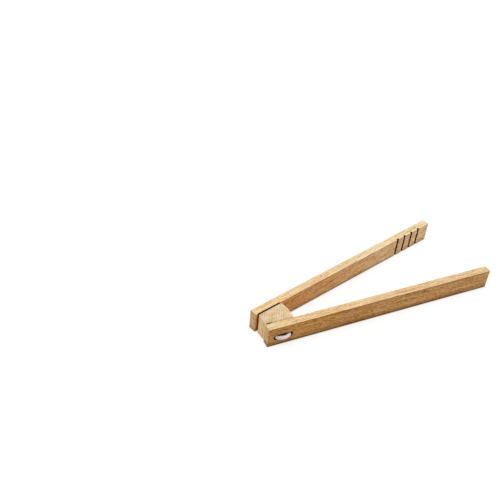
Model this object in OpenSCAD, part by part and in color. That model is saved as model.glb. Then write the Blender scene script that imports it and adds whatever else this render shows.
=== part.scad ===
// Print tongs: two flat beech arms, a wedge block that holds them apart at the back,
// and one rubber cord loop that ties the three together and springs the arms open.
// Millimetres. +X runs to the tips, +Y to the grooved arm, +Z up.
// The origin is the middle of the block's underside, which lies on the table with the arms.

/* [Arms] */
// Length of each arm
arm_len = 210; // [160:1:260]
// Height of each arm, and of the block
arm_h = 18; // [14:0.5:24]
// Thickness of each arm
arm_t = 7; // [5.5:0.25:10]
// Radius of the eased edges of the arms
arm_ease = 0.4; // [0.2:0.1:1.2]
// Angle between each arm and the middle plane, with the tongs open
spread_angle = 8; // [5:0.25:11]
// How far the grooved arm runs past the back of the block
grooved_overhang = 1.6; // [0:0.1:3]
// How far the plain arm runs past the back of the block
plain_overhang = 1; // [0:0.1:3]

/* [Grip grooves] */
// Number of saw cuts across the inner face of the grooved arm
groove_count = 4; // [2:1:6]
// Distance from the tip to the first cut
groove_first = 15; // [8:0.5:30]
// Distance from one cut to the next
groove_pitch = 9.4; // [5:0.2:14]
// Width of each cut
groove_w = 2; // [0.8:0.1:2.5]
// Depth of each cut
groove_depth = 1; // [0.5:0.1:2]

/* [Wedge block] */
// Length of the block, along the tongs
block_len = 24.4; // [20:0.2:36]
// Width of the block at its back
block_back_w = 11.6; // [9:0.2:18]
// Radius of the two front corners, which the arms rock on
rock_r = 1.5; // [1:0.25:3]
// Radius of the two back corners
back_r = 2.5; // [1:0.25:3.5]
// Radius of the slight crown of the front face
crown_r = 45; // [30:1:90]
// Gap between the grooved arm and the block's cheek
grooved_gap = 0.5; // [0.1:0.05:0.8]
// Gap between the plain arm and the block's cheek
plain_gap = 0.15; // [0.05:0.05:0.8]

/* [Elastic loop] */
// Diameter of the rubber cord
cord_d = 3; // [2:0.1:4]
// Clearance around the cord in its holes
cord_clear = 0.75; // [0.3:0.05:0.8]
// Gap between the stretched cord and the side of each hole that it lies against
cord_gap = 0.15; // [0.1:0.05:0.3]
// Angle below the level of the side of each hole that the cord lies against
lie_angle = 42; // [0:1:60]
// Height of the cord holes above the table
hole_up = 8; // [6.5:0.1:10]
// Distance from the back of the block to the first cord hole
hole_back = 6.3; // [5.5:0.1:7.5]
// Distance from the front of the block to the second cord hole
hole_front = 6.6; // [6:0.1:7.5]
// Depth of the channel that joins the two holes on the outer face of an arm
channel_depth = 1.5; // [0.5:0.1:2]
// Radius that the cord bends round at each end of the channel
turn_r = 0.45; // [0.3:0.05:1]
// Slope of the cord's bow where it leaves its end bends
bow_angle = 30; // [8:1:36]

/* [Hidden] */
$fn = 64;

// how far a cutter runs past the face that it opens
past = 1;
// how far the block's corner rounds stand past the flats beside them,
// so that the two meet at a clear edge
bite = 0.001;

// directions along an arm and square to it, away from the middle plane
along = [cos(spread_angle), sin(spread_angle)];
outward = [-sin(spread_angle), cos(spread_angle)];

// sharp back corner of the block, and the origin of an arm that stands off the cheek by a gap:
// on the arm's inner face, beside that corner
block_corner = [-block_len / 2, block_back_w / 2];
function seat(gap) = block_corner + [0, gap / cos(spread_angle)];
function on_arm(p, gap) = seat(gap) + p[0] * along + p[1] * outward;

// centre of the back corner's round: on the line one radius inside the cheek, one radius from the back
back_line = block_corner - back_r * outward;
back_centre = back_line + (block_corner[0] + back_r - back_line[0]) / along[0] * along;

// centre of the front corner's round, which is the axis that the arm rocks about:
// on the line one radius inside the cheek, touching the crown of the front face from inside
crown_centre = [block_len / 2 - crown_r, 0];
rock_line = block_corner - rock_r * outward;
from_crown = rock_line - crown_centre;
half_b = along * from_crown;
rock_along = sqrt(half_b * half_b - from_crown * from_crown + pow(crown_r - rock_r, 2)) - half_b;
rock_centre = rock_line + rock_along * along;
crown_dir = (rock_centre - crown_centre) / norm(rock_centre - crown_centre);

// cord holes: their size, their places along the block, and along an arm;
// the holes of an arm meet those of the block on the arm's inner face
hole_d = cord_d + 2 * cord_clear;
block_holes = [hole_back - block_len / 2, block_len / 2 - hole_front];
holes = [for (x = block_holes) (x - block_corner[0]) / along[0]];
hole_pitch = holes[1] - holes[0];

// the two strands of the cord, drawn towards each other by its tension and lying low in their holes
pull = (cord_clear - cord_gap) * cos(lie_angle);
strands = [holes[0] + pull, holes[1] - pull];
cord_up = hole_up - (cord_clear - cord_gap) * sin(lie_angle);

// bow of the cord outside an arm: a bend out of each hole, from the level of the channel's floor,
// and a shallow arc between the bends
bend_r = cord_d / 2 + turn_r;
bend_start = arm_t - channel_depth;
arc_r = ((strands[1] - strands[0]) / 2 - bend_r * (1 - sin(bow_angle))) / sin(bow_angle);
bow_top = bend_start + bend_r * cos(bow_angle) + arc_r * (1 - cos(bow_angle));

// points of a side of the tongs, in reverse order on the other side
function mirrored(points) = [for (i = [len(points) - 1 : -1 : 0]) [points[i][0], -points[i][1]]];

// route of the cord in the arm's own frame,
// from the arm's inner face at the back hole to the top of the bow
bend_steps = 7;
arc_steps = 5;
bow_middle = (strands[0] + strands[1]) / 2;
bend_route = [
    for (i = [0 : bend_steps])
        let (t = 90 - i * (90 - bow_angle) / bend_steps)
            [strands[0] + bend_r * (1 - sin(t)), bend_start + bend_r * cos(t)]
];
arc_route = [
    for (i = [1 : arc_steps])
        let (t = bow_angle * (1 - i / arc_steps))
            [bow_middle - arc_r * sin(t), bow_top - arc_r * (1 - cos(t))]
];
rising = concat([[strands[0], 0]], bend_route, arc_route);
falling = [for (i = [len(rising) - 2 : -1 : 0]) [2 * bow_middle - rising[i][0], rising[i][1]]];

// the whole loop, seen from above: out through one arm and back, across the block,
// and the same on the other side
function bow_route(gap) = [for (p = concat(rising, falling)) on_arm(p, gap)];
loop_route = concat(bow_route(grooved_gap), mirrored(bow_route(plain_gap)));
cord_sides = 16;

// rectangle from the origin with round corners
module rounded_rect(size, r) {
    translate([r, 0])
        square([size[0] - 2 * r, size[1]]);
    translate([0, r])
        square([size[0], size[1] - 2 * r]);
    for (x = [r, size[0] - r], y = [r, size[1] - r])
        translate([x, y])
            circle(r);
}

// straight bar with all twelve edges eased
module eased_bar(l, t, h, r) {
    intersection() {
        linear_extrude(h)
            rounded_rect([l, t], r);
        translate([0, t, 0])
            rotate([90, 0, 0])
                linear_extrude(t)
                    rounded_rect([l, h], r);
        rotate([90, 0, 90])
            linear_extrude(l)
                rounded_rect([t, h], r);
    }
}

// moves an arm from its own frame to its place on the +Y side
module place_arm(gap) {
    translate([seat(gap)[0], seat(gap)[1], 0])
        rotate([0, 0, spread_angle])
            children();
}

// two holes right through an arm, joined by a channel on its outer face
module cord_cuts() {
    for (u = holes)
        translate([u, -past, hole_up])
            rotate([-90, 0, 0])
                cylinder(h = arm_t + 2 * past, d = hole_d);
    translate([holes[0], arm_t - channel_depth, hole_up - hole_d / 2])
        cube([hole_pitch, channel_depth + past, hole_d]);
}

// row of saw cuts across the inner face, near the tip
module grip_cuts() {
    grooved_tip = arm_len - grooved_overhang;
    for (i = [0 : groove_count - 1])
        translate([grooved_tip - groove_first - i * groove_pitch - groove_w / 2, -past, -past])
            cube([groove_w, groove_depth + past, arm_h + 2 * past]);
}

module arm(overhang) {
    difference() {
        translate([-overhang, 0, 0])
            eased_bar(arm_len, arm_t, arm_h, arm_ease);
        cord_cuts();
    }
}

module grooved_arm() {
    color([0.93, 0.80, 0.60])
        place_arm(grooved_gap)
            difference() {
                arm(grooved_overhang);
                grip_cuts();
            }
}

module plain_arm() {
    color([0.93, 0.80, 0.60])
        mirror([0, 1, 0])
            place_arm(plain_gap)
                arm(plain_overhang);
}

// outline of the block: straight back and cheeks, round corners, slightly crowned front
module block_outline() {
    side = [
        rock_centre,
        rock_centre + (rock_r - bite) * outward,
        back_centre + (back_r - bite) * outward,
        [block_corner[0], back_centre[1]]
    ];
    polygon(concat(side, mirrored(side)));
    for (y = [-1, 1]) {
        translate([back_centre[0] - bite, y * back_centre[1]])
            circle(back_r);
        translate([rock_centre[0], y * rock_centre[1]])
            circle(rock_r);
    }
    front = [
        rock_centre + 2 * rock_r * crown_dir,
        rock_centre,
        [rock_centre[0] - rock_r, rock_centre[1]]
    ];
    intersection() {
        translate(crown_centre)
            circle(crown_r - bite);
        polygon(concat(front, mirrored(front)));
    }
}

module wedge_block() {
    color([0.88, 0.74, 0.55])
        difference() {
            linear_extrude(arm_h)
                block_outline();
            for (x = block_holes)
                translate([x, 0, hole_up])
                    rotate([90, 0, 0])
                        cylinder(h = block_back_w + block_len, d = hole_d, center = true);
        }
}

// round cord along a closed route in the horizontal plane
module closed_cord(route, d) {
    n = len(route);
    rings = [
        for (i = [0 : n - 1])
            let (ahead = route[(i + 1) % n] - route[(i + n - 1) % n])
                let (side = [-ahead[1], ahead[0]] / norm(ahead))
                    for (j = [0 : cord_sides - 1])
                        let (a = 360 * j / cord_sides, out = d / 2 * cos(a) * side)
                            [route[i][0] + out[0], route[i][1] + out[1], d / 2 * sin(a)]
    ];
    function at(i, j) = (i % n) * cord_sides + j % cord_sides;
    skin = [
        for (i = [0 : n - 1], j = [0 : cord_sides - 1])
            each [[at(i, j), at(i + 1, j), at(i, j + 1)], [at(i + 1, j), at(i + 1, j + 1), at(i, j + 1)]]
    ];
    polyhedron(rings, skin);
}

module elastic_loop() {
    color([0.93, 0.91, 0.88])
        translate([0, 0, cord_up])
            closed_cord(loop_route, cord_d);
}

wedge_block();
grooved_arm();
plain_arm();
elastic_loop();
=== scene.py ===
"""Looks of the wooden print tongs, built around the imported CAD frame: beech, rubber cord, studio."""
import math

import bmesh
import bpy
from mathutils import Matrix, Vector


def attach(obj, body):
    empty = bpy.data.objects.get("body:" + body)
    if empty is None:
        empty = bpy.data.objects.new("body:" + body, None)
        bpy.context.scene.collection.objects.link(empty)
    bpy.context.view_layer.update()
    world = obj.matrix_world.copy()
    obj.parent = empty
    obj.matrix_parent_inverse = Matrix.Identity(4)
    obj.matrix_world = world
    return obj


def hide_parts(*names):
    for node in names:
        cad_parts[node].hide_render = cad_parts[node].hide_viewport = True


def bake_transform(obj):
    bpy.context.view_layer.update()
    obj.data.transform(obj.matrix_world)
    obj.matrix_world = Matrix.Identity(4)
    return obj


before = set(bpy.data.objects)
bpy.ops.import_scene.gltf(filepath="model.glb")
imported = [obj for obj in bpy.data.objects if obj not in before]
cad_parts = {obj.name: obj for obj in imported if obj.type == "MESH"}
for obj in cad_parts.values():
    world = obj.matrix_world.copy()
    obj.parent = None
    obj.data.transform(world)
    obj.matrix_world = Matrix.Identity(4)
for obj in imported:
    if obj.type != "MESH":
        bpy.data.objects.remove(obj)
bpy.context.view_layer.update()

MM = 0.001

# Sizes of the part, in millimetres, as the CAD has them.
ARM_LEN, ARM_H, ARM_T = 210.0, 18.0, 7.0
SPREAD = math.radians(8.0)
GROOVED_OVERHANG = 1.6
GROOVE_COUNT, GROOVE_FIRST, GROOVE_PITCH = 4, 15.0, 9.4
GROOVE_W, GROOVE_DEPTH = 2.0, 1.0
BLOCK_LEN, BLOCK_BACK_W = 24.4, 11.6
ROCK_R, BACK_R, CROWN_R = 1.5, 2.5, 45.0
GROOVED_GAP, PLAIN_GAP = 0.5, 0.15
CORD_D, CORD_CLEAR, CORD_GAP, TURN_R = 3.0, 0.75, 0.15, 0.45
HOLE_UP, HOLE_BACK, HOLE_FRONT, CHANNEL_DEPTH = 8.0, 6.3, 6.6, 1.5
LIE_ANGLE, BOW_ANGLE = math.radians(42.0), math.radians(30.0)

# What follows from them.
HOLE_R = CORD_D / 2 + CORD_CLEAR
ALONG = Vector((math.cos(SPREAD), math.sin(SPREAD)))
OUTWARD = Vector((-math.sin(SPREAD), math.cos(SPREAD)))
BLOCK_CORNER = Vector((-BLOCK_LEN / 2, BLOCK_BACK_W / 2))
BLOCK_HOLES = (HOLE_BACK - BLOCK_LEN / 2, BLOCK_LEN / 2 - HOLE_FRONT)
ARM_HOLES = [(x - BLOCK_CORNER.x) / ALONG.x for x in BLOCK_HOLES]
PULL = (CORD_CLEAR - CORD_GAP) * math.cos(LIE_ANGLE)
STRANDS = (ARM_HOLES[0] + PULL, ARM_HOLES[1] - PULL)
CORD_UP = HOLE_UP - (CORD_CLEAR - CORD_GAP) * math.sin(LIE_ANGLE)

# Round of the block's edges, as sandpaper leaves them.
BLOCK_EASE = 0.4
# Width of a year's growth in the wood of the arms and of the block.
ARM_RING, BLOCK_RING = 2.3, 1.9
# Stretches of an arm over which the painted light on its sides and on its top changes.
SIDE_CHANGE, TOP_CHANGE = (30.0, 200.0), (40.0, 140.0)
# Where the stain and the painted seam shade that the block leaves on an arm end, and over what length
# they fade.
STAIN_AND_SHADE_END, STAIN_AND_SHADE_FADE = 23.6, 1.6
# Pin knot in the top of the grooved arm: its place along and across, its width as a part of its length,
# and where it fades.
KNOT_ALONG, KNOT_ACROSS, KNOT_NARROW = 72.2, 4.3, 0.6
KNOT_CORE, KNOT_EDGE = 0.5, 1.3

# Colours in sRGB: the dark, middle and pale tones of the broad faces, of the faces that get a paler copy
# of the wood as painted light, and of the end grain.
ARM_END_TONES = ("A8743F", "E6B782", "F6D7AC")
BLOCK_END_TONES = ("B3834F", "E8CBA3", "FBEDD6")
GROOVED_TONES = (("AC7033", "F0B167", "FAD49B"), ("D29D5F", "F3D09A", "FCE7BF"), ARM_END_TONES)
PLAIN_TONES = (("9B6026", "E3A457", "F6C884"), ("CE9A5C", "F1D09B", "FBE8C2"), ARM_END_TONES)
BLOCK_TONES = (("A9743F", "D9AC74", "EBCB9C"), ("D2A064", "FFD79C", "FFEAC4"), BLOCK_END_TONES)
PINK_CLOUD, KNOT_BROWN = "D9A27E", "5B3A22"
# Painted highlight on the arms' upper edges, with some wear; a darker band under it; painted shade
# towards the table.
EDGE_HIGHLIGHT_AND_WEAR, UNDER_EDGE, TABLE_SHADE = "F7E3BA", "6E3D12", "3A2412"
# A light stain, with painted shade in the seams by the block; painted shade in the cord's holes and
# seats.
STAIN_AND_SHADE, HOLE_SHADE = "3C1904", "2A0C00"
# Saw scorch in the grip grooves, with painted shade that darkens towards their floor.
SCORCH_AND_SHADE_RIM, SCORCH_AND_SHADE_FLOOR = "783212", "421400"
RUBBER, RUBBER_GRIME, RUBBER_DUST = "FFF2EF", "F2DFDA", "DECAC3"
# How strongly painted shade darkens the walls of the cord's holes and seats.
HOLE_SHADE_STRENGTH = 0.97
WOOD_SPECULAR, RUBBER_SPECULAR = 0.1, 0.4

UP = (0, 0, 1)
# How far a face looks up or down where it begins and fully counts as a side or as a top.
AS_SIDE, AS_TOP = (0.9, 0.4), (0.3, 0.7)
WHITE = (1, 1, 1, 1)

# The photo's camera, found by a fit to the arms' corners and edges: millimetres and degrees.
CAMERA_LENS, CAMERA_SENSOR = 48.639, 36.0
CAMERA_PLACE = (-232.816, -303.350, 378.016)
CAMERA_HEADING, CAMERA_DOWN, CAMERA_ROLL = (math.radians(t) for t in (55.982, 38.076, 4.245))

# The studio, in metres: the table's half size and its drop below the part, the reach of its shade under
# what touches it, the distances over which it turns plain white, and the place that the lamps look at.
FLOOR_HALF, FLOOR_DROP = 6.0, 0.00005
TOUCH_REACH = 0.0016
WHITE_FROM, WHITE_PAST = 0.4, 1.5
LAMP_TARGET = Vector((0.09, 0, 0))
# Its brightness: the glow of the table where it is touched, darkened there as a painted contact shadow,
# and where it is open, with the ambient occlusion of each, the table's own grey to the camera and to
# other rays, and the sky.
TOUCH_COLOUR, OPEN_COLOUR = (0.45, 0.35, 0.24, 1), (0.78, 0.78, 0.78, 1)
TOUCH_AT, OPEN_AT = 0.3, 0.9
FLOOR_SEEN, FLOOR_LIGHT, SKY_LIGHT = 0.28, 0.55, 0.45


def seat(gap):
    """Origin of the +Y arm that stands off the block by a gap: on its inner face, at the block's back."""
    return BLOCK_CORNER + Vector((0, gap / math.cos(SPREAD)))


def linear(hex_colour):
    """Scene-linear RGBA of an sRGB colour written as six hex digits."""
    out = []
    for i in (0, 2, 4):
        c = int(hex_colour[i:i + 2], 16) / 255
        out.append(c / 12.92 if c <= 0.04045 else ((c + 0.055) / 1.055) ** 2.4)
    return (*out, 1.0)


class Nodes:
    """Short calls for building the node tree of a material or a world."""

    def __init__(self, owner):
        owner.use_nodes = True
        self.owner = owner
        self.tree = owner.node_tree
        self.tree.nodes.clear()

    def put(self, socket, value):
        """Links another socket to this one, or sets its value."""
        if isinstance(value, bpy.types.NodeSocket):
            self.tree.links.new(value, socket)
        else:
            socket.default_value = value

    def new(self, kind, *values):
        """New node, with values in its first sockets."""
        n = self.tree.nodes.new("ShaderNode" + kind)
        for socket, value in zip(n.inputs, values):
            self.put(socket, value)
        return n

    def show(self, shader):
        """Makes a shader the result of the tree."""
        kind = "OutputWorld" if isinstance(self.owner, bpy.types.World) else "OutputMaterial"
        self.new(kind, shader)

    def pick(self, others, seen):
        """Shows one shader to the camera and in mirror-like rays, and lets the other light the scene."""
        ray = self.new("LightPath").outputs
        mirror_like = self.math("MAXIMUM", ray["Is Glossy Ray"], ray["Is Transmission Ray"])
        to_eye = self.math("MAXIMUM", ray["Is Camera Ray"], mirror_like)
        return self.new("MixShader", to_eye, others, seen).outputs[0]

    def diffuse(self, level):
        """Plain grey shader."""
        return self.new("BsdfDiffuse", (level, level, level, 1)).outputs[0]

    def math(self, op, *values):
        n = self.new("Math", *values)
        n.operation = op
        return n.outputs[0]

    def vector_math(self, op, *vectors):
        """Value worked out from vectors."""
        n = self.new("VectorMath", *vectors)
        n.operation = op
        return n.outputs["Value"]

    def add(self, *values):
        total = values[0]
        for value in values[1:]:
            total = self.math("ADD", total, value)
        return total

    def times(self, *values):
        product = values[0]
        for value in values[1:]:
            product = self.math("MULTIPLY", product, value)
        return product

    def off(self, value, middle):
        """Distance of a value from a middle."""
        return self.math("ABSOLUTE", self.math("SUBTRACT", value, middle))

    def inside(self, value, size):
        """Distance of a value from the nearer end of the range from 0 to a size."""
        return self.math("SUBTRACT", size / 2, self.off(value, size / 2))

    def length(self, a, b):
        """Length of a step of a one way and b square to it."""
        return self.math("SQRT", self.add(self.times(a, a), self.times(b, b)))

    def swing(self, noise, amount):
        """Noise about one half, turned into a swing about zero."""
        return self.times(self.math("SUBTRACT", noise, 0.5), amount)

    def step(self, value, low, high, to_low=0.0, to_high=1.0):
        """Smooth step from low to high."""
        n = self.new("MapRange", value, low, high, to_low, to_high)
        n.interpolation_type = "SMOOTHSTEP"
        return n.outputs[0]

    def vector(self, x, y, z):
        return self.new("CombineXYZ", x, y, z).outputs[0]

    def stretched(self, a, b, c, along, across):
        """Place for a texture that is stretched along the first coordinate."""
        return self.vector(self.times(a, along), self.times(b, across), self.times(c, across))

    def noise(self, place, scale=1.0, detail=2.0, rough=0.5):
        n = self.new("TexNoise", place)
        n.inputs["Scale"].default_value = scale
        n.inputs["Detail"].default_value = detail
        n.inputs["Roughness"].default_value = rough
        return n.outputs["Fac"]

    def mix(self, factor, a, b, blend="MIX"):
        """Mix of two colours."""
        n = self.new("Mix", factor)
        n.data_type = "RGBA"
        n.blend_type = blend
        a_in, b_in = n.inputs[6], n.inputs[7]
        self.put(a_in, a)
        self.put(b_in, b)
        return n.outputs[2]

    def ramp(self, value, *stops):
        """Colour of a value between stops, each a place and a colour."""
        n = self.new("ValToRGB", value)
        elements = n.color_ramp.elements
        for place, _ in stops[1:-1]:
            elements.new(place)
        for element, (place, colour) in zip(elements, stops):
            element.position = place
            element.color = colour
        return n.outputs["Color"]


class Surface(Nodes):
    """Node tree of a new material with one Principled shader."""

    def __init__(self, name):
        super().__init__(bpy.data.materials.new(name))
        self.coords = self.new("TexCoord").outputs
        self.shader = self.new("BsdfPrincipled")
        self.show(self.shader.outputs["BSDF"])

    def placed(self, location, turn, scale):
        """The object's coordinates in another frame, as three values."""
        n = self.new("Mapping", self.coords["Object"])
        n.vector_type = "TEXTURE"
        n.inputs["Location"].default_value = location
        n.inputs["Rotation"].default_value = (0, 0, turn)
        n.inputs["Scale"].default_value = scale
        return tuple(self.new("SeparateXYZ", n.outputs[0]).outputs)

    def facing(self, direction, low, high):
        """How far the surface faces along a direction or against it, from 0 to 1."""
        along = self.vector_math("DOT_PRODUCT", self.coords["Normal"], direction)
        return self.step(self.math("ABSOLUTE", along), low, high)

    def tone(self, value, tones):
        """Colour of a value from 0 (dark) through one half to 1 (pale)."""
        return self.ramp(value, *zip((0.0, 0.5, 1.0), map(linear, tones)))

    def bump(self, height, strength, distance):
        """Gives the shader a fine relief."""
        n = self.new("Bump")
        n.inputs["Strength"].default_value = strength
        n.inputs["Distance"].default_value = distance
        self.put(n.inputs["Height"], height)
        self.put(self.shader.inputs["Normal"], n.outputs["Normal"])

    def cover(self, colour, roughness, specular):
        """Gives the shader its colour, roughness and specular level."""
        self.put(self.shader.inputs["Base Color"], colour)
        self.put(self.shader.inputs["Roughness"], roughness)
        self.shader.inputs["Specular IOR Level"].default_value = specular


def beech(n, grain, pith, lean, ring, seed, tones, end_dir, painted_lit_dir):
    """Solid beech: growth rings round a pith beside the piece, fibres along the grain, ray flecks.

    grain holds three coordinates in millimetres, the first along the grain. pith is the place of the
    tree's axis in the other two, and lean its slope to the grain. ring is the width of a year's growth.
    tones are those of the broad faces, of the faces that look along painted_lit_dir, which get a paler
    copy of the same wood as painted light, and of the end grain that looks along end_dir. Returns colour
    and roughness.
    """
    a, b, c = grain
    broad_tones, painted_lit_tones, end_tones = tones

    # the tree's axis leans to the piece, and the fibres wander
    wander = n.swing(n.noise(n.vector(n.times(a, 0.02), seed, 0.0), detail=1.0), 3.5)
    aside = n.add(b, -pith[0], n.times(a, lean[0]), wander)
    above = n.add(c, -pith[1], n.times(a, lean[1]))
    ripple = n.noise(n.stretched(a, b, c, 0.07, 0.12))
    radius = n.add(n.length(aside, above), n.swing(ripple, 2.4))
    turn = n.times(n.math("ARCTAN2", aside, above), math.hypot(*pith))

    def fibres(along, across, detail=2.0, rough=0.5):
        """Noise along the grain, with so many waves in a millimetre along it and across it."""
        return n.noise(n.stretched(a, radius, turn, along, across), detail=detail, rough=rough)

    # growth rings: pale early wood running into a narrow darker line
    phase = n.math("FRACT", n.math("DIVIDE", radius, ring))
    late = n.times(n.step(phase, 0.30, 0.88), n.step(phase, 1.0, 0.92))

    # fibres in fine lines, threads and broader lines, in short dashes, and in broad bands of tone
    fine = fibres(along=0.07, across=2.3, detail=3.0, rough=0.6)
    thread = fibres(along=0.02, across=1.8)
    line = fibres(along=0.02, across=0.85, detail=3.0, rough=0.55)
    dash = fibres(along=0.42, across=2.2, detail=1.0)
    band = fibres(along=0.02, across=0.17)
    cloud = n.noise(n.stretched(a, b, c, 0.05, 0.10))

    # rays: thin sheets along the radius, which show as short brown dashes
    sheet = n.vector(n.times(a, 0.40), n.times(radius, 0.14), n.times(turn, 1.7))
    fleck = n.step(n.noise(sheet, detail=1.0, rough=0.4), 0.57, 0.66)

    shared = n.add(0.5, n.swing(fine, 1.1), n.swing(band, 0.5), n.times(late, -0.12))
    broad = n.add(shared, n.swing(thread, 1.6), n.swing(dash, 1.6), n.times(fleck, -0.32))
    pale = n.add(shared, n.swing(thread, 2.1), n.swing(dash, 1.5), n.times(fleck, -0.10))
    # faces that look along the lit direction get the paler tones: painted light, a lit copy of the same
    # wood
    is_painted_lit = n.facing(painted_lit_dir, 0.35, 0.9)
    colour = n.mix(is_painted_lit, n.tone(broad, broad_tones), n.tone(pale, painted_lit_tones))
    colour = n.mix(n.step(cloud, 0.42, 0.72, 0.0, 0.18), colour, linear(PINK_CLOUD))

    # end grain: rings across the face, and pores
    pores = n.noise(n.stretched(a, b, c, 0.02, 3.6), rough=0.7)
    end = n.add(0.56, n.times(late, -0.18), n.swing(line, 0.9), n.swing(band, 0.8), n.swing(pores, 0.9))
    is_end = n.facing(end_dir, 0.55, 0.85)
    colour = n.mix(is_end, colour, n.tone(end, end_tones))

    relief = n.add(n.times(fine, 0.7), n.times(late, 0.25), n.times(fleck, -0.2))
    n.bump(n.add(relief, n.times(pores, is_end, -0.6)), strength=0.4, distance=0.14 * MM)
    return colour, n.step(fine, 0.25, 0.75, 0.50, 0.66)


def arm_tones(n, place, colour, painted_tip_light, painted_top_light):
    """Painted light along an arm's length: a gradient that changes the tone of its sides and of its top
    towards the tip.
    """
    x = place[0]
    on_sides = n.times(n.step(x, *SIDE_CHANGE), n.facing(UP, *AS_SIDE))
    colour = n.mix(on_sides, colour, (*painted_tip_light, 1), "MULTIPLY")
    on_top = n.times(n.step(x, *TOP_CHANGE), n.facing(UP, *AS_TOP))
    return n.mix(on_top, colour, (*painted_top_light, 1), "MULTIPLY")


def painted_edges_and_foot(n, place, colour, grime_and_shade):
    """Marks of an arm: a painted highlight along the upper edges, with some wear; the sides darker just
    under them; and painted shade towards the table.
    """
    highlight_and_wear_level, under_dark, side_shade, foot_shade = 0.22, 0.26, 0.5, 0.45
    y, z = place[1:]
    anywhere = n.vector(*place)
    # a painted highlight along the upper arrises, with some wear
    to_side = n.add(n.inside(y, ARM_T), n.swing(n.noise(anywhere, 0.35), 1.2))
    edge_highlight_and_wear = n.times(n.step(to_side, 1.1, 0.2, 0.0, highlight_and_wear_level), n.step(z, ARM_H - 0.25, ARM_H - 0.05))
    colour = n.mix(edge_highlight_and_wear, colour, linear(EDGE_HIGHLIGHT_AND_WEAR))

    under = n.times(n.step(z, ARM_H - 2.2, ARM_H - 0.9), n.step(z, ARM_H - 0.04, ARM_H - 0.2))
    colour = n.mix(n.times(under, n.facing(UP, *AS_SIDE), under_dark), colour, linear(UNDER_EDGE))

    # painted shade towards the table: a broad fade up the sides and a darker line at the foot
    low = n.add(z, n.swing(n.noise(anywhere, 0.6), 0.8))
    table_shade = n.add(n.step(low, 6.0, 0.5, 0.0, side_shade * grime_and_shade), n.step(low, 1.7, 0.5, 0.0, foot_shade))
    return n.mix(table_shade, colour, linear(TABLE_SHADE))


def block_stain_and_seam_shade(n, place, colour, seam):
    """Light stain where an arm lies on the block, and painted shade in the seam round it, strong at the
    back. Returns colour and mask.
    """
    all_over, back_seam_shade = 0.25, 0.65
    x, y, z = place
    uneven = n.swing(n.noise(n.vector(x, y, z), 0.9), 0.5)
    beside = n.times(n.step(x, -0.6, 0.6), n.step(x, STAIN_AND_SHADE_END, STAIN_AND_SHADE_END - STAIN_AND_SHADE_FADE))
    rim = n.math("MAXIMUM", n.step(n.inside(z, ARM_H), 4.0, 0.5), n.step(x, 7.0, 0.5))
    # painted shade in the seam along the edges and at the back, over the light stain
    strength = n.add(all_over, n.times(rim, n.step(x, 6.0, 3.0, seam - all_over, back_seam_shade)))
    stain_and_shade = n.times(beside, n.step(n.add(y, uneven), 0.75, 0.35), strength)
    return n.mix(stain_and_shade, colour, linear(STAIN_AND_SHADE)), stain_and_shade


def cord_seat(n, place, colour):
    """Painted shade, nearly black, on the walls of the cord's seat in an arm and on a narrow rim round
    it. Returns colour and mask.
    """
    x, _, z = place
    middle, half = sum(ARM_HOLES) / 2, (ARM_HOLES[1] - ARM_HOLES[0]) / 2
    past_end = n.math("MAXIMUM", 0.0, n.add(n.off(x, middle), -half))
    in_shaded_seat = n.step(n.length(past_end, n.off(z, HOLE_UP)), HOLE_R + 0.40, HOLE_R + 0.15)
    return n.mix(n.times(in_shaded_seat, HOLE_SHADE_STRENGTH), colour, linear(HOLE_SHADE)), in_shaded_seat


def saw_cuts(n, place, colour):
    """Walls and rims of the grip grooves, scorched by the saw, with painted shade darker towards each
    groove's floor. Returns colour and mask.
    """
    x, y, _ = place
    from_first = n.math("SUBTRACT", ARM_LEN - GROOVED_OVERHANG - GROOVE_FIRST, x)
    nearest = n.math("ROUND", n.math("DIVIDE", from_first, GROOVE_PITCH))
    nearest = n.math("MINIMUM", n.math("MAXIMUM", nearest, 0.0), GROOVE_COUNT - 1.0)
    to_cut = n.off(from_first, n.times(nearest, GROOVE_PITCH))
    in_cut = n.times(n.step(to_cut, GROOVE_W / 2 + 0.30, GROOVE_W / 2 + 0.10),
                     n.step(y, GROOVE_DEPTH + 0.30, GROOVE_DEPTH + 0.10))
    # scorch and painted shade, darker deeper in the groove
    scorch_and_shade = n.mix(n.step(y, 0.1, 0.7 * GROOVE_DEPTH), linear(SCORCH_AND_SHADE_RIM), linear(SCORCH_AND_SHADE_FLOOR))
    return n.mix(in_cut, colour, scorch_and_shade), in_cut


def pin_knot(n, place, colour):
    """Pin knot in the top of the grooved arm."""
    x, y, z = place
    aside = n.math("DIVIDE", n.math("SUBTRACT", y, KNOT_ACROSS), KNOT_NARROW)
    away = n.length(n.math("SUBTRACT", x, KNOT_ALONG), aside)
    knot = n.times(n.step(away, KNOT_EDGE, KNOT_CORE), n.step(z, ARM_H - 3, ARM_H - 1))
    return n.mix(n.times(knot, 0.75), colour, linear(KNOT_BROWN))


def arm_wood(name, side, gap, pith, lean, seed, tones, painted_tip_light, painted_top_light, grime_and_shade, seam, grooved):
    """Beech of one arm, in its own frame: x from the block's back, y out from its inner face, z up."""
    n = Surface(name)
    origin = seat(gap)
    place = n.placed((origin.x * MM, side * origin.y * MM, 0), side * SPREAD, (MM, side * MM, MM))
    # the top and bottom of the arm get the paler tones, as painted light
    colour, rough = beech(n, place, pith, lean, ARM_RING, seed, tones,
                          end_dir=(ALONG.x, side * ALONG.y, 0), painted_lit_dir=UP)
    colour = arm_tones(n, place, colour, painted_tip_light, painted_top_light)
    colour = painted_edges_and_foot(n, place, colour, grime_and_shade)
    colour, stain_and_shade = block_stain_and_seam_shade(n, place, colour, seam)
    colour, in_shaded_seat = cord_seat(n, place, colour)
    dull = n.math("MAXIMUM", stain_and_shade, in_shaded_seat)
    if grooved:
        colour, in_cut = saw_cuts(n, place, colour)
        colour = pin_knot(n, place, colour)
        dull = n.math("MAXIMUM", dull, in_cut)
    n.cover(colour, n.math("MAXIMUM", rough, dull), WOOD_SPECULAR)
    return n.owner


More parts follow.
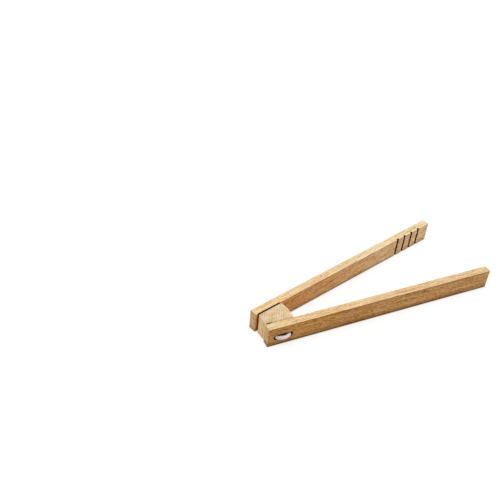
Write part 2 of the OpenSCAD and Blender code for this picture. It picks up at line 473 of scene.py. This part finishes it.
def block_wood():
    """Beech of the block, with the grain upright, so that its top shows end grain in slanting stripes."""
    cheek_stain, block_seam_shade = 0.1, 0.82
    n = Surface("beech_block")
    x, y, z = n.placed((0, 0, 0), 0, (MM, MM, MM))
    # the back and front of the block get the paler tones, as painted light
    colour, rough = beech(n, (z, x, y), pith=(49.0, -34.0), lean=(0.02, 0.01), ring=BLOCK_RING, seed=7.3,
                          tones=BLOCK_TONES, end_dir=UP, painted_lit_dir=(1, 0, 0))

    # the cheeks get a light stain, and painted shade darkens their seams: all along the grooved arm, and
    # at the back of the plain one
    from_back = n.add(x, BLOCK_LEN / 2)
    aside = n.add(n.math("ABSOLUTE", y), -BLOCK_BACK_W / 2)
    depth = n.add(n.times(aside, OUTWARD.y), n.times(from_back, OUTWARD.x))
    rim = n.math("MAXIMUM", n.step(n.inside(z, ARM_H), 4.0, 0.5), n.step(from_back, 7.0, 0.5, 0.0, 0.7))
    rim = n.times(rim, n.math("MAXIMUM", n.step(y, -1.0, 1.0), n.step(from_back, 6.0, 3.5)))
    uneven = n.swing(n.noise(n.vector(x, y, z), 0.9), 0.5)
    strength = n.add(cheek_stain, n.times(rim, block_seam_shade))
    stain_and_shade = n.times(n.step(n.add(depth, uneven), -0.78, -0.38), strength)
    colour = n.mix(stain_and_shade, colour, linear(STAIN_AND_SHADE))

    # painted shade on the drilled walls of the cord's holes
    level = n.step(n.off(z, HOLE_UP), HOLE_R + 0.10, HOLE_R - 0.02)
    near = [n.step(n.off(x, place), HOLE_R + 0.12, HOLE_R) for place in BLOCK_HOLES]
    in_shaded_hole = n.times(level, n.math("MAXIMUM", *near))
    colour = n.mix(n.times(in_shaded_hole, HOLE_SHADE_STRENGTH), colour, linear(HOLE_SHADE))
    dull = n.math("MAXIMUM", stain_and_shade, in_shaded_hole)
    n.cover(colour, n.math("MAXIMUM", rough, dull), WOOD_SPECULAR)
    return n.owner


def rubber():
    """Off-white rubber of the cord, a little dusty and grimy."""
    n = Surface("white_rubber")
    dust = n.noise(n.coords["Object"], scale=900.0, detail=3.0, rough=0.6)
    grime_and_shade = n.noise(n.coords["Object"], scale=160.0)
    colour = n.mix(n.step(grime_and_shade, 0.40, 0.75, 0.0, 0.30), linear(RUBBER), linear(RUBBER_GRIME))
    colour = n.mix(n.step(dust, 0.50, 0.75, 0.0, 0.18), colour, linear(RUBBER_DUST))
    n.cover(colour, n.step(dust, 0.3, 0.7, 0.42, 0.58), RUBBER_SPECULAR)
    n.shader.inputs["Subsurface Weight"].default_value = 0.15
    n.shader.inputs["Subsurface Radius"].default_value = (1.2 * MM, 1.0 * MM, 0.8 * MM)
    n.bump(dust, strength=0.25, distance=0.08 * MM)
    return n.owner


def new_object(name, data):
    """Object of a mesh, lamp or camera, in the scene."""
    obj = bpy.data.objects.new(name, data)
    bpy.context.scene.collection.objects.link(obj)
    return obj


def smooth(mesh, degrees):
    """Smooth shading, with edges sharper than an angle left sharp."""
    for p in mesh.polygons:
        p.use_smooth = True
    mesh.set_sharp_from_angle(angle=math.radians(degrees))


def closed_skin(name, rings):
    """Mesh of quads between rings of points in millimetres, closed by a face at each end."""
    bm = bmesh.new()
    loops = [[bm.verts.new(Vector(p) * MM) for p in ring] for ring in rings]
    count = len(loops[0])
    for low, high in zip(loops, loops[1:]):
        for i in range(count):
            j = (i + 1) % count
            bm.faces.new((low[i], low[j], high[j], high[i]))
    bm.faces.new(list(reversed(loops[0])))
    bm.faces.new(loops[-1])
    bmesh.ops.recalc_face_normals(bm, faces=bm.faces)
    mesh = bpy.data.meshes.new(name)
    bm.to_mesh(mesh)
    bm.free()
    return mesh


def arc(centre, radius, start, end, steps):
    """Points of an arc in the plane, with the outward direction at each."""
    out = []
    for i in range(steps + 1):
        t = start + (end - start) * i / steps
        d = Vector((math.cos(t), math.sin(t)))
        out.append((centre + radius * d, d))
    return out


def block_outline():
    """Outline of the block seen from above, counter-clockwise, as (point, outward direction)."""
    crown_steps, rock_steps, cheek_steps, back_steps = 10, 14, 12, 12
    back = BLOCK_CORNER - BACK_R * OUTWARD
    back_centre = back + (BLOCK_CORNER.x + BACK_R - back.x) / ALONG.x * ALONG
    crown_centre = Vector((BLOCK_LEN / 2 - CROWN_R, 0))
    line = BLOCK_CORNER - ROCK_R * OUTWARD
    away = line - crown_centre
    half = ALONG.dot(away)
    rock_along = math.sqrt(half * half - away.dot(away) + (CROWN_R - ROCK_R) ** 2) - half
    rock_centre = line + rock_along * ALONG
    crown_turn = math.atan2(rock_centre.y - crown_centre.y, rock_centre.x - crown_centre.x)
    cheek_turn = math.pi / 2 + SPREAD

    side = arc(crown_centre, CROWN_R, 0, crown_turn, crown_steps)[:-1]
    side += arc(rock_centre, ROCK_R, crown_turn, cheek_turn, rock_steps)
    front_end, back_end = side[-1][0], back_centre + BACK_R * OUTWARD
    side += [(front_end.lerp(back_end, i / cheek_steps), OUTWARD) for i in range(1, cheek_steps)]
    side += arc(back_centre, BACK_R, cheek_turn, math.pi, back_steps)
    side.append((Vector((BLOCK_CORNER.x, 0)), Vector((-1, 0))))
    mirrored = [(Vector((p.x, -p.y)), Vector((d.x, -d.y))) for p, d in side[-2:0:-1]]
    return side + mirrored


def drill_block(block):
    """Cuts the cord's two holes through the block."""
    cutters = []
    for x in BLOCK_HOLES:
        tool = bmesh.new()
        place = Matrix.Translation((x * MM, 0, HOLE_UP * MM)) @ Matrix.Rotation(math.pi / 2, 4, "X")
        bmesh.ops.create_cone(tool, cap_ends=True, segments=40, radius1=HOLE_R * MM, radius2=HOLE_R * MM,
                              depth=2 * BLOCK_LEN * MM, matrix=place)
        mesh = bpy.data.meshes.new("cutter")
        tool.to_mesh(mesh)
        tool.free()
        cut = block.modifiers.new("hole", "BOOLEAN")
        cut.operation = "DIFFERENCE"
        cut.solver = "EXACT"
        cut.object = new_object("cutter", mesh)
        cutters.append(cut.object)
    evaluated = block.evaluated_get(bpy.context.evaluated_depsgraph_get())
    drilled = bpy.data.meshes.new_from_object(evaluated)
    block.modifiers.clear()
    block.data = drilled
    for cutter in cutters:
        bpy.data.objects.remove(cutter)


def make_block(material):
    """The block with its cord holes and its sanded edges."""
    ease_steps, wall_steps = 4, 6
    turns = [math.pi / 2 * k / ease_steps for k in range(ease_steps + 1)]
    rim = [(BLOCK_EASE * (1 - math.sin(t)), BLOCK_EASE * (1 - math.cos(t))) for t in turns]
    wall = ARM_H - 2 * BLOCK_EASE
    levels = list(rim)
    levels += [(0, BLOCK_EASE + wall * k / wall_steps) for k in range(1, wall_steps)]
    levels += [(inset, ARM_H - drop) for inset, drop in reversed(rim)]
    outline = block_outline()
    rings = [[(p.x - inset * d.x, p.y - inset * d.y, z) for p, d in outline] for inset, z in levels]
    mesh = closed_skin("block_body", rings)
    mesh.materials.append(material)
    block = new_object("block_body", mesh)
    drill_block(block)
    smooth(block.data, degrees=35)
    return block


def cord_route(gap):
    """Centre line of the cord on the +Y side: from the block's middle out through the arm and back."""
    block_steps, arm_steps, bend_steps, bow_steps = 10, 8, 16, 10
    bend_r = CORD_D / 2 + TURN_R
    bend_start = ARM_T - CHANNEL_DEPTH
    bow_half = (STRANDS[1] - STRANDS[0]) / 2 - bend_r * (1 - math.sin(BOW_ANGLE))
    bow_r = bow_half / math.sin(BOW_ANGLE)
    bow_top = bend_start + bend_r * math.cos(BOW_ANGLE) + bow_r * (1 - math.cos(BOW_ANGLE))
    middle = sum(STRANDS) / 2
    rising = [(STRANDS[0], bend_start * i / arm_steps) for i in range(arm_steps)]
    for i in range(bend_steps + 1):
        t = math.pi / 2 - i * (math.pi / 2 - BOW_ANGLE) / bend_steps
        rising.append((STRANDS[0] + bend_r * (1 - math.sin(t)), bend_start + bend_r * math.cos(t)))
    for i in range(1, bow_steps + 1):
        t = BOW_ANGLE * (1 - i / bow_steps)
        rising.append((middle - bow_r * math.sin(t), bow_top - bow_r * (1 - math.cos(t))))
    falling = [(2 * middle - u, w) for u, w in rising[-2::-1]]
    on_arm = [seat(gap) + u * ALONG + w * OUTWARD for u, w in rising + falling]
    first, last = on_arm[0], on_arm[-1]
    into = [Vector((first.x, first.y * i / block_steps)) for i in range(block_steps)]
    back = [Vector((last.x, last.y * i / block_steps)) for i in reversed(range(block_steps))]
    return into + on_arm + back


def make_cord(name, side, gap, material):
    """Half of the rubber loop, which ends inside the block's two holes."""
    sides = 28
    turns = [2 * math.pi * j / sides for j in range(sides)]
    route = [Vector((p.x, side * p.y)) for p in cord_route(gap)]
    rings = []
    for i, p in enumerate(route):
        ahead = route[min(i + 1, len(route) - 1)] - route[max(i - 1, 0)]
        across = CORD_D / 2 * Vector((-ahead.y, ahead.x)).normalized()
        rings.append([(*(p + math.cos(t) * across), CORD_UP + CORD_D / 2 * math.sin(t)) for t in turns])
    mesh = closed_skin(name, rings)
    mesh.materials.append(material)
    smooth(mesh, degrees=60)
    return new_object(name, mesh)


def paint(node, material):
    """Gives a CAD node a material."""
    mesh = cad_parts[node].data
    mesh.materials.clear()
    mesh.materials.append(material)


def make_floor():
    """White table that keeps a soft shadow, and that lights the object from below as a pale card."""
    corners = [(x * FLOOR_HALF, y * FLOOR_HALF, 0) for x, y in ((-1, -1), (1, -1), (1, 1), (-1, 1))]
    mesh = bpy.data.meshes.new("floor")
    mesh.from_pydata(corners, [], [(0, 1, 2, 3)])
    n = Nodes(bpy.data.materials.new("floor"))

    # a painted contact shadow where something touches it, from ambient occlusion, and plain white far
    # away
    touch = n.new("AmbientOcclusion")
    touch.inputs["Distance"].default_value = TOUCH_REACH
    shade = n.ramp(touch.outputs["AO"], (TOUCH_AT, TOUCH_COLOUR), (OPEN_AT, OPEN_COLOUR))
    away = n.vector_math("LENGTH", n.new("TexCoord").outputs["Object"])
    far = n.new("MapRange", away, WHITE_FROM, WHITE_PAST).outputs["Result"]
    glow = n.new("Emission", n.mix(far, shade, WHITE)).outputs[0]
    seen = n.new("AddShader", glow, n.diffuse(FLOOR_SEEN)).outputs[0]
    n.show(n.pick(n.diffuse(FLOOR_LIGHT), seen))

    mesh.materials.append(n.owner)
    floor = new_object("floor", mesh)
    floor.location.z = -FLOOR_DROP


def make_sky():
    """Even sky, which is white to the camera."""
    world = bpy.data.worlds.new("studio")
    bpy.context.scene.world = world
    n = Nodes(world)
    light, seen = (n.new("Background", WHITE, strength).outputs[0] for strength in (SKY_LIGHT, 1.0))
    n.show(n.pick(light, seen))


def make_lamp(name, offset, size, watts):
    """Square soft lamp that looks at the middle of the tongs."""
    lamp = bpy.data.lights.new(name, "AREA")
    lamp.shape = "SQUARE"
    lamp.size = size
    lamp.energy = watts
    obj = new_object(name, lamp)
    obj.location = LAMP_TARGET + Vector(offset)
    obj.rotation_euler = (LAMP_TARGET - obj.location).to_track_quat("-Z", "Y").to_euler()


def make_camera():
    """Camera where the photo's stood."""
    data = bpy.data.cameras.new("camera")
    data.sensor_fit = "HORIZONTAL"
    data.sensor_width = CAMERA_SENSOR
    data.lens = CAMERA_LENS
    data.clip_start = 0.01
    cam = new_object("camera", data)
    heading = Matrix.Rotation(CAMERA_HEADING - math.pi / 2, 4, "Z")
    down = Matrix.Rotation(math.pi / 2 - CAMERA_DOWN, 4, "X")
    roll = Matrix.Rotation(CAMERA_ROLL, 4, "Z")
    cam.matrix_world = Matrix.Translation(Vector(CAMERA_PLACE) * MM) @ heading @ down @ roll
    bpy.context.scene.camera = cam


# The tongs.
# Each arm gets a painted light gradient towards its tip, painted shade towards the table, and painted
# shade in its seam by the block.
paint("grooved_arm", arm_wood(
    "beech_grooved_arm", side=1, gap=GROOVED_GAP, pith=(-64.0, 30.0), lean=(0.012, -0.03), seed=1.7,
    tones=GROOVED_TONES, painted_tip_light=(1.06, 1.38, 2.05), painted_top_light=(1.03, 1.17, 1.37),
    grime_and_shade=0.4, seam=0.98, grooved=True))
paint("plain_arm", arm_wood(
    "beech_plain_arm", side=-1, gap=PLAIN_GAP, pith=(-58.0, -24.0), lean=(-0.02, 0.035), seed=4.1,
    tones=PLAIN_TONES, painted_tip_light=(1.02, 1.10, 1.40), painted_top_light=(0.95, 0.93, 0.95),
    grime_and_shade=1.0, seam=0.1, grooved=False))

block = make_block(block_wood())
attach(block, "block")
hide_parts("wedge_block")

# The cord is built in two halves, each from the block's holes out through one arm's and back, attached to
# neither.
# Where the block's part turns into the arm's it slants, because the arm's front hole hardly leaves the
# block, and its back hole does.
white = rubber()
for name, side, gap, body in (("cord_grooved_side", 1, GROOVED_GAP, "grooved_side"),
                              ("cord_plain_side", -1, PLAIN_GAP, "plain_side")):
    cord = make_cord(name, side, gap, white)
    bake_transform(cord)
    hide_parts("elastic_loop")

# The studio: a large lamp from above and behind, and a fill beyond the tips.
make_floor()
make_sky()
make_lamp("softbox", offset=(-1.0, 0.44, 2.05), size=2.0, watts=29.0)
make_lamp("fill", offset=(1.0, -0.25, 0.35), size=0.8, watts=6.5)
make_camera()
bpy.context.scene.view_settings.view_transform = "Standard"
